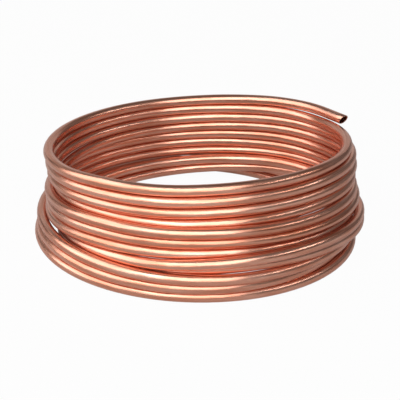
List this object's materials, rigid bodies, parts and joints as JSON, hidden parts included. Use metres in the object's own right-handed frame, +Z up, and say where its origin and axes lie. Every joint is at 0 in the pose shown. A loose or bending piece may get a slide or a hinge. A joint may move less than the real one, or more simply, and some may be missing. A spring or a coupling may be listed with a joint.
{
  "type": "copper tube coil",
  "caption": "Loose coil of soft copper tube lying on its flat side, with stacked turns round an open centre and one open end showing at the top.",
  "frame": {"origin": "on the floor, in the middle of the coil's outline seen from above", "axes": "+Z up, along the coil's axis; -Y towards the front, where someone looks at the coil in the picture; +X to that person's right"},
  "size_m": [0.4062, 0.4026, 0.1385],
  "materials": {
    "copper": "bright drawn copper"
  },
  "bodies": {
    "root": {"tube": "copper"}
  },
  "joints": []
}
